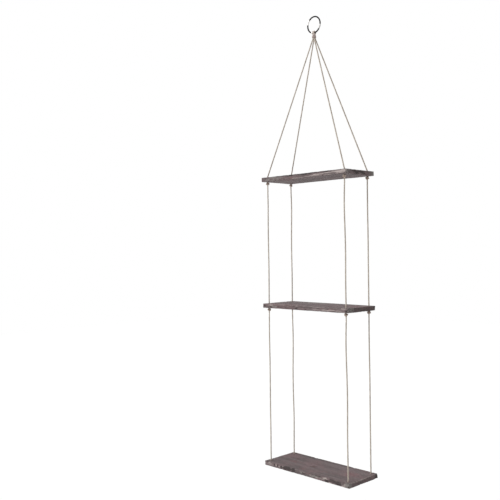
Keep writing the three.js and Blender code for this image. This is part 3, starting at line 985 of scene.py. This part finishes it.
def new_group(name, inputs, outputs):
    """An empty node group with its named inputs and outputs."""
    group = bpy.data.node_groups.new(name, "ShaderNodeTree")
    for title, kind, default in inputs:
        socket = group.interface.new_socket(title, in_out="INPUT", socket_type=f"NodeSocket{kind}")
        if default is not None:
            socket.default_value = default
    for title in outputs:
        group.interface.new_socket(title, in_out="OUTPUT", socket_type="NodeSocketFloat")
    return group, group.nodes.new("NodeGroupInput").outputs, group.nodes.new("NodeGroupOutput").inputs


def close_group(group, put_out, **results):
    """Link each result to the group's output of that name."""
    for title, result in results.items():
        group.links.new(result, put_out[title])
    print(f"{group.name}: {len(group.nodes)} nodes")


def place_group(tree, group, **values):
    return add_node(tree, "ShaderNodeGroup", {"node_tree": group}, **values).outputs


def new_material(name, **uniform):
    """A material with a Principled shader whose uniform values are set on its own sockets."""
    material = bpy.data.materials.new(name)
    material.use_nodes = True
    shader = material.node_tree.nodes["Principled BSDF"]
    for title, value in uniform.items():
        shader.inputs[title.replace("_", " ")].default_value = value
    return material, material.node_tree, shader.inputs


def add_bump(tree, height, distance, strength):
    bump = add_node(tree, "ShaderNodeBump", Height=height, Distance=distance, Strength=strength)
    return bump.outputs["Normal"]


# %% [markdown]
# ### Jute
#
# Each strand is spun from long fibres. In laid rope the spin of the strands runs against the lay, so on the
# outside the fibres lie nearly parallel to the rope. The mesh carries each point's place across and along
# the rope. A noise that is drawn out along the rope gives streaks that keep to it round every bend.

# %% Node group: spun fibres
fibre_group, given, put_out = new_group(
    "spun_fibres",
    [("Place", "Vector", None), ("Coarseness", "Float", 1.0)],
    ["Streaks", "Patches", "Height"],
)
tree = fibre_group
scaled = add_node(
    tree, "ShaderNodeVectorMath", {"operation": "SCALE"}, Vector=given["Place"], Scale=given["Coarseness"]
)
place = scaled.outputs[0]
fine = add_noise(tree, place, (5200, 5200, 420), 3.0, 0.6)
yarn = add_noise(tree, place, (1900, 1900, 160), 2.0)
patches = add_noise(tree, place, (260, 260, 60), 2.0)
close_group(
    tree,
    put_out,
    Streaks=add_range(tree, fine, 0.3, 0.7),
    Patches=add_range(tree, patches, 0.32, 0.68),
    Height=weighted_sum(tree, (fine, 0.4), (yarn, 1)),
)


# %% Rope finishes
fibre_relief = 0.00022
groove_shade = 0.8


def jute(name, shade, light, groove_shade_colour, coarseness=1.0):
    """A rope finish: fibres from shade to light, with painted shade in the grooves between strands."""
    material, tree, shader = new_material(name, Roughness=0.92, Specular_IOR_Level=0.25)
    place = surface_value(tree, "fibre_place", "Vector")
    fibres = place_group(tree, fibre_group, Place=place, Coarseness=coarseness)
    tone = weighted_sum(tree, (fibres["Streaks"], 0.6), (fibres["Patches"], 0.45))
    body = add_blend(tree, add_range(tree, tone, 0.1, 0.95), (*shade, 1), (*light, 1))
    # Painted shade: the grooves between the strands are darkened towards the groove colour.
    depth = add_range(tree, surface_value(tree, "groove"), 0.3, 1.0, 0.0, groove_shade)
    tree.links.new(add_blend(tree, depth, body, (*groove_shade_colour, 1)), shader["Base Color"])
    tree.links.new(add_bump(tree, fibres["Height"], fibre_relief, 0.8), shader["Normal"])
    return material


# The ropes at the left corners are a little paler and greyer than those at the right corners.
rope_finishes = {
    "left": jute("pale_jute", (0.36, 0.31, 0.263), (0.64, 0.578, 0.51), (0.218, 0.18, 0.147)),
    "right": jute("natural_jute", (0.335, 0.286, 0.238), (0.595, 0.533, 0.46), (0.203, 0.167, 0.133)),
}
# The eyes on the ring and the neck under them are painted paler than the rest of the rope: painted light
# that offsets the shade where the loops crowd round the wire.
eye_finish_painted_paler = jute("eye_jute_painted_paler", (0.48, 0.41, 0.37), (0.78, 0.7, 0.65), (0.32, 0.26, 0.23))
knot_finish = jute("handled_jute", (0.31, 0.235, 0.195), (0.55, 0.45, 0.39), (0.13, 0.09, 0.072))
lashing_finish = jute("lashing_twine", (0.34, 0.265, 0.245), (0.6, 0.49, 0.46), (0.2, 0.145, 0.13), 1.3)
for rope in ropes:
    side = "right" if rope.name.endswith("right") else "left"
    rope.data.materials.append(eye_finish_painted_paler if rope in eye_ropes else rope_finishes[side])
for knot in knots:
    knot.data.materials.append(knot_finish)
lashing.data.materials.append(lashing_finish)
print(f"{len(ropes)} stretches of rope and {len(knots)} knots of {knot_finish.name}")

# %% [markdown]
# ### Old wood
#
# Sawn wood is a solid cut through growth rings, so its colour has to run through the plank and come out as
# long lines on the faces and as arcs on the ends. Rings about an axis along the plank do that. Noise that is
# stretched along the plank gives streaks, and finer noise gives the open pores that catch the light.
# Dry planks split along the grain. The contour lines of a stretched noise are long and thin, as such checks
# are, so a narrow band round one level of it draws them.

# %% Node group: grain of a sawn plank
ring_spacing = 0.0036
# The wave texture draws this many rings in a metre at a scale of 1.
rings_at_scale_one = 10 / math.pi
check_width = 0.012
grain_group, given, put_out = new_group(
    "sawn_grain",
    [("Place", "Vector", None)],
    ["Rings", "Streaks", "Bands", "Pores", "Checks", "Blotches", "Height"],
)
tree = grain_group
place = given["Place"]
slow_place = add_vectors(tree, "MULTIPLY", place, (5, 26, 26))
wander = add_node(tree, "ShaderNodeTexNoise", Vector=slow_place, Scale=1.0, Detail=3.0).outputs["Color"]
bent = add_vectors(tree, "MULTIPLY_ADD", wander, (0, 0.03, 0.03), place)
rings = add_node(
    tree,
    "ShaderNodeTexWave",
    {"wave_type": "RINGS", "rings_direction": "X"},
    Vector=bent,
    Scale=1 / rings_at_scale_one / ring_spacing,
).outputs["Fac"]
streaks = add_noise(tree, bent, (9, 190, 190), 4.0, 0.6)
bands = add_noise(tree, bent, (3.2, 52, 52), 2.0)
pores = add_noise(tree, place, (60, 1500, 1500), 2.0)
blotches = add_noise(tree, place, (10, 24, 24), 3.0)
contour = add_noise(tree, bent, (6, 150, 150), 2.0)
off_contour = add_math(tree, "ABSOLUTE", add_math(tree, "SUBTRACT", contour, 0.5))
dry = add_noise(tree, place, (5, 30, 30), 2.0)
split = add_range(tree, off_contour, 0.0, check_width, 1.0, 0.0)
checks = product(tree, split, add_range(tree, dry, 0.48, 0.6))
close_group(
    tree,
    put_out,
    Checks=checks,
    Rings=rings,
    Streaks=add_range(tree, streaks, 0.3, 0.7),
    Bands=add_range(tree, bands, 0.36, 0.64),
    Pores=add_range(tree, pores, 0.5, 0.68),
    Blotches=add_range(tree, blotches, 0.4, 0.64),
    Height=weighted_sum(tree, (streaks, 1), (pores, -0.6), (checks, -0.9), (rings, 0.15)),
)

# %% [markdown]
# Wear is laid over the grain in kinds: old red stain, weathered grey, a rubbed pale one, and a dark one
# where chips have filled with dirt. Knots, where a branch grew, are set the same way. The mesh says roughly
# where each lies. A noise with a hard threshold breaks it into specks, because even old wood never changes
# colour in a soft airbrushed way.

# %% Node group: broken wear
wear_group, given, put_out = new_group(
    "broken_wear",
    [
        ("Place", "Vector", None),
        ("Amount", "Float", 0.0),
        ("Speck Size", "Float", 0.004),
        ("Stretch", "Float", 3.0),
    ],
    ["Mask"],
)
tree = wear_group
amount_gain = 0.27
speck_edge = (0.64, 0.78)
per_metre = add_math(tree, "DIVIDE", 1.0, given["Speck Size"])
drawn_out = add_math(tree, "DIVIDE", per_metre, given["Stretch"])
speck_scale = add_node(tree, "ShaderNodeCombineXYZ", X=drawn_out, Y=per_metre, Z=per_metre)
specks = add_noise(tree, given["Place"], speck_scale.outputs[0], 6.0, 0.66)
level = weighted_sum(tree, (specks, 1), (given["Amount"], amount_gain))
close_group(tree, put_out, Mask=add_range(tree, level, *speck_edge))

# %% Wood finishes
wood_dark, wood_light, wood_red = (0.07, 0.052, 0.052), (0.205, 0.163, 0.165), (0.185, 0.118, 0.122)
grey_colour, pale_colour = (0.24, 0.235, 0.215), (0.45, 0.39, 0.365)
stain_colour, knot_colour = (0.19, 0.088, 0.092), (0.068, 0.034, 0.033)
dirt_colour, pore_colour = (0.024, 0.018, 0.017), (0.035, 0.026, 0.025)
wear_specks = {
    "red": (0.008, 3.5),
    "grey": (0.006, 3.0),
    "knot": (0.009, 1.8),
    "pale": (0.0024, 6.0),
    "dark": (0.003, 3.2),
}
half_length = board_boxes["top"][1].x
end_margin, end_skin = 0.0025, 0.0008
grain_relief = 0.0006


def tinted(colour, amount=1.0):
    return (*(part * amount for part in colour), 1)


def old_wood(name, shift, level, redness, rubbed_strength, end_shade):
    """The finish of one plank. The shift moves its pattern, so that no two planks are cut alike."""
    material, tree, shader = new_material(name, Roughness=0.8, Specular_IOR_Level=0.3)
    own_place = own_place_of(tree)
    place = add_vectors(tree, "ADD", own_place, shift)
    grain = place_group(tree, grain_group, Place=place)
    tone = weighted_sum(tree, (grain["Streaks"], 0.45), (grain["Bands"], 0.35), (grain["Rings"], 0.2))
    late_wood = add_range(tree, grain["Rings"], 0.62, 0.97)
    along = add_node(tree, "ShaderNodeSeparateXYZ", Vector=own_place).outputs["X"]
    from_middle = add_math(tree, "ABSOLUTE", along)
    at_end = add_range(tree, from_middle, half_length - end_margin, half_length - end_skin)
    masks = {}
    for kind, (size, stretch) in wear_specks.items():
        amount = surface_value(tree, f"{kind}_wear")
        worn = place_group(tree, wear_group, Place=place, Amount=amount, Speck_Size=size, Stretch=stretch)
        masks[kind] = worn["Mask"]
    high_spots = add_range(tree, grain["Streaks"], 0.15, 0.7, 0.5, 1.0)
    low_spots = add_range(tree, grain["Streaks"], 0.4, 1.0, 1.0, 0.72)
    rubbed_off = product(tree, masks["pale"], high_spots)
    filled_in = product(tree, masks["dark"], low_spots)
    # Each layer has a mask, a strength and a colour, and covers the ones before it.
    layers = [
        (grain["Blotches"], redness, tinted(wood_red, level)),
        (late_wood, 0.35, tinted(wood_dark, level)),
        (at_end, end_shade, tinted(pore_colour)),
        (product(tree, at_end, late_wood), 0.4, tinted(pore_colour)),
        (masks["red"], 0.45, tinted(stain_colour)),
        (masks["grey"], 0.6, tinted(grey_colour)),
        (masks["knot"], 0.6, tinted(knot_colour)),
        (rubbed_off, rubbed_strength, tinted(pale_colour)),
        (filled_in, 0.85, tinted(dirt_colour)),
        (grain["Pores"], 0.6, tinted(pore_colour)),
        (grain["Checks"], 0.8, tinted(dirt_colour)),
    ]
    colour = add_blend(tree, tone, tinted(wood_dark, level), tinted(wood_light, level))
    for mask, strength, laid_over in layers:
        colour = add_blend(tree, product(tree, mask, strength), colour, laid_over)
    tree.links.new(colour, shader["Base Color"])
    height = weighted_sum(tree, (grain["Height"], 1), (masks["dark"], -0.5))
    tree.links.new(add_bump(tree, height, grain_relief, 0.75), shader["Normal"])
    tree.links.new(add_range(tree, grain["Streaks"], 0.0, 1.0, 0.68, 0.9), shader["Roughness"])
    return material


finishes = {
    "top": old_wood("top_plank_wood", (1.3, 0.036, 0.62), 1.04, 0.35, 0.78, 0.0),
    "middle": old_wood("middle_plank_wood", (4.1, -0.03, 1.1), 0.97, 0.5, 0.6, 0.35),
    "bottom": old_wood("bottom_plank_wood", (7.7, 0.02, 1.69), 1.0, 0.65, 0.75, 0.1),
}
for tier, plank in planks.items():
    plank.data.materials.clear()
    plank.data.materials.append(finishes[tier])
print(", ".join(finish.name for finish in finishes.values()))

# %% [markdown]
# ### Steel
#
# The ring is plain drawn wire under a black oxide skin. In a few places bright bare steel is painted in as
# highlights. The noise makes the boundary ragged.

# %% Steel finish
highlight_steel_colour, thin_skin, thick_skin = (0.72, 0.7, 0.68), (0.026, 0.0245, 0.0255), (0.008, 0.0077, 0.008)
scratch_relief = 0.00003
steel, tree, shader = new_material("oxide_steel", Metallic=1.0, Specular_Tint=(0.5, 0.5, 0.5, 1))
smudges = add_noise(tree, own_place_of(tree), (260, 260, 260), 4.0, 0.6)
scratches = add_noise(tree, own_place_of(tree), (900, 300, 900), 2.0)
# Painted highlight: bright bare steel where the mesh's value is high, broken up by the smudges.
ragged = weighted_sum(tree, (surface_value(tree, "rubbed"), 1), (smudges, 1.2))
highlight_patch = add_range(tree, ragged, 0.92, 1.5)
skin = add_blend(tree, add_range(tree, smudges, 0.35, 0.7), tinted(thick_skin), tinted(thin_skin))
tree.links.new(add_blend(tree, highlight_patch, skin, tinted(highlight_steel_colour)), shader["Base Color"])
tree.links.new(add_range(tree, highlight_patch, 0.0, 1.0, 0.55, 0.3), shader["Roughness"])
tree.links.new(add_bump(tree, scratches, scratch_relief, 0.6), shader["Normal"])
ring.data.materials.append(steel)
print(steel.name)

# %% [markdown]
# ## Floor, backdrop and light
#
# The shelf hangs before plain white. Light that is bright enough to burn the background out would burn the
# planks out too, so the lamps stay at a plain level and the white comes from the colour that camera rays
# and mirror rays meet. The floor adds a little of that to its own lit colour, so it still takes a shadow.
# Its underside is clear, so a view from below shows the shelf and not the floor.
# One soft sun from the front left leaves the right-hand ends of the planks in shade.

# %% Helpers for world and floor
def seen_directly(tree):
    """One for camera, mirror and glass rays, and zero for the rays that light the object."""
    path = tree.nodes.new("ShaderNodeLightPath").outputs
    seen = add_math(tree, "MAXIMUM", path["Is Camera Ray"], path["Is Glossy Ray"])
    return add_math(tree, "MAXIMUM", seen, path["Is Transmission Ray"])


def join_shaders(tree, kind, first, second, **share):
    """Two shaders added or mixed."""
    both = add_node(tree, kind, **share)
    tree.links.new(first.outputs[0], both.inputs[-2])
    tree.links.new(second.outputs[0], both.inputs[-1])
    return both


def bare_tree(owner):
    """The empty node tree of a world or material."""
    owner.use_nodes = True
    owner.node_tree.nodes.clear()
    return owner.node_tree


def close_tree(tree, kind, shader):
    tree.links.new(shader.outputs[0], add_node(tree, kind).inputs["Surface"])


# %% World
world_level = 0.62
white = (1, 1, 1, 1)
world = bpy.data.worlds.new("studio")
bpy.context.scene.world = world
tree = bare_tree(world)
lighting = add_node(tree, "ShaderNodeBackground", Color=white, Strength=world_level)
backdrop = add_node(tree, "ShaderNodeBackground", Color=white, Strength=1.0)
studio = join_shaders(tree, "ShaderNodeMixShader", lighting, backdrop, Fac=seen_directly(tree))
close_tree(tree, "ShaderNodeOutputWorld", studio)
print(world.name)

# %% Floor
floor_drop = 0.35
floor_reach = 8.0
floor_white = 0.82
floor_glow = 0.14
floor_z = board_under["bottom"] - floor_drop
floor_corners = floor_reach * np.array([(-1, -1, 0), (1, -1, 0), (1, 1, 0), (-1, 1, 0)]) + (0, 0, floor_z)
floor = make_object("floor", floor_corners, [(0, 1, 2, 3)])
floor_finish = bpy.data.materials.new("white_floor")
tree = bare_tree(floor_finish)
painted = add_node(tree, "ShaderNodeBsdfDiffuse", Color=(floor_white, floor_white, floor_white, 1))
glow = add_node(tree, "ShaderNodeEmission", Strength=product(tree, seen_directly(tree), floor_glow))
upper_side = join_shaders(tree, "ShaderNodeAddShader", painted, glow)
clear = add_node(tree, "ShaderNodeBsdfTransparent")
from_below = add_node(tree, "ShaderNodeNewGeometry").outputs["Backfacing"]
one_sided = join_shaders(tree, "ShaderNodeMixShader", upper_side, clear, Fac=from_below)
close_tree(tree, "ShaderNodeOutputMaterial", one_sided)
floor.data.materials.append(floor_finish)
print(f"floor at {floor_z:.3f} m")

# %% Sun
sun_from = Vector((-0.5, -0.7, 0.58))
sun_strength = 2.55
sun_spread = math.radians(34)
sun_data = bpy.data.lights.new("soft_sun", "SUN")
sun_data.energy = sun_strength
sun_data.angle = sun_spread
sun = bpy.data.objects.new("soft_sun", sun_data)
sun.rotation_euler = sun_from.to_track_quat("Z", "Y").to_euler()
bpy.context.scene.collection.objects.link(sun)
bpy.context.scene.view_settings.view_transform = "Standard"
print(f"sun of strength {sun_strength}")
